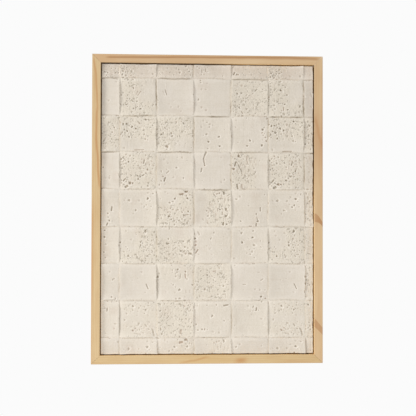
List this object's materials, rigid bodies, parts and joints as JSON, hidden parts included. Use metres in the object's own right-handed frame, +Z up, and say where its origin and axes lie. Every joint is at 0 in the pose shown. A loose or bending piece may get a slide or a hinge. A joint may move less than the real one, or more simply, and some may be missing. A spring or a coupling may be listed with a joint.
{
  "type": "framed relief wall panel",
  "caption": "Upright wall panel: pale cast travertine-look relief of woven squares, set back in a natural pine floater frame with a dark shadow gap.",
  "frame": {"origin": "on the flat back face of the top rail, 9 mm below the frame's top edge, midway between the two keyhole seats", "axes": "+Z up, +Y out of the back towards the wall, so the relief faces -Y"},
  "size_m": [0.6, 0.032, 0.8],
  "materials": {
    "pine": "satin",
    "plaster": "matte"
  },
  "bodies": {
    "root": {"frame_rail_top": "pine", "frame_rail_bottom": "pine", "frame_rail_left": "pine", "frame_rail_right": "pine", "relief_panel": "plaster"}
  },
  "joints": []
}
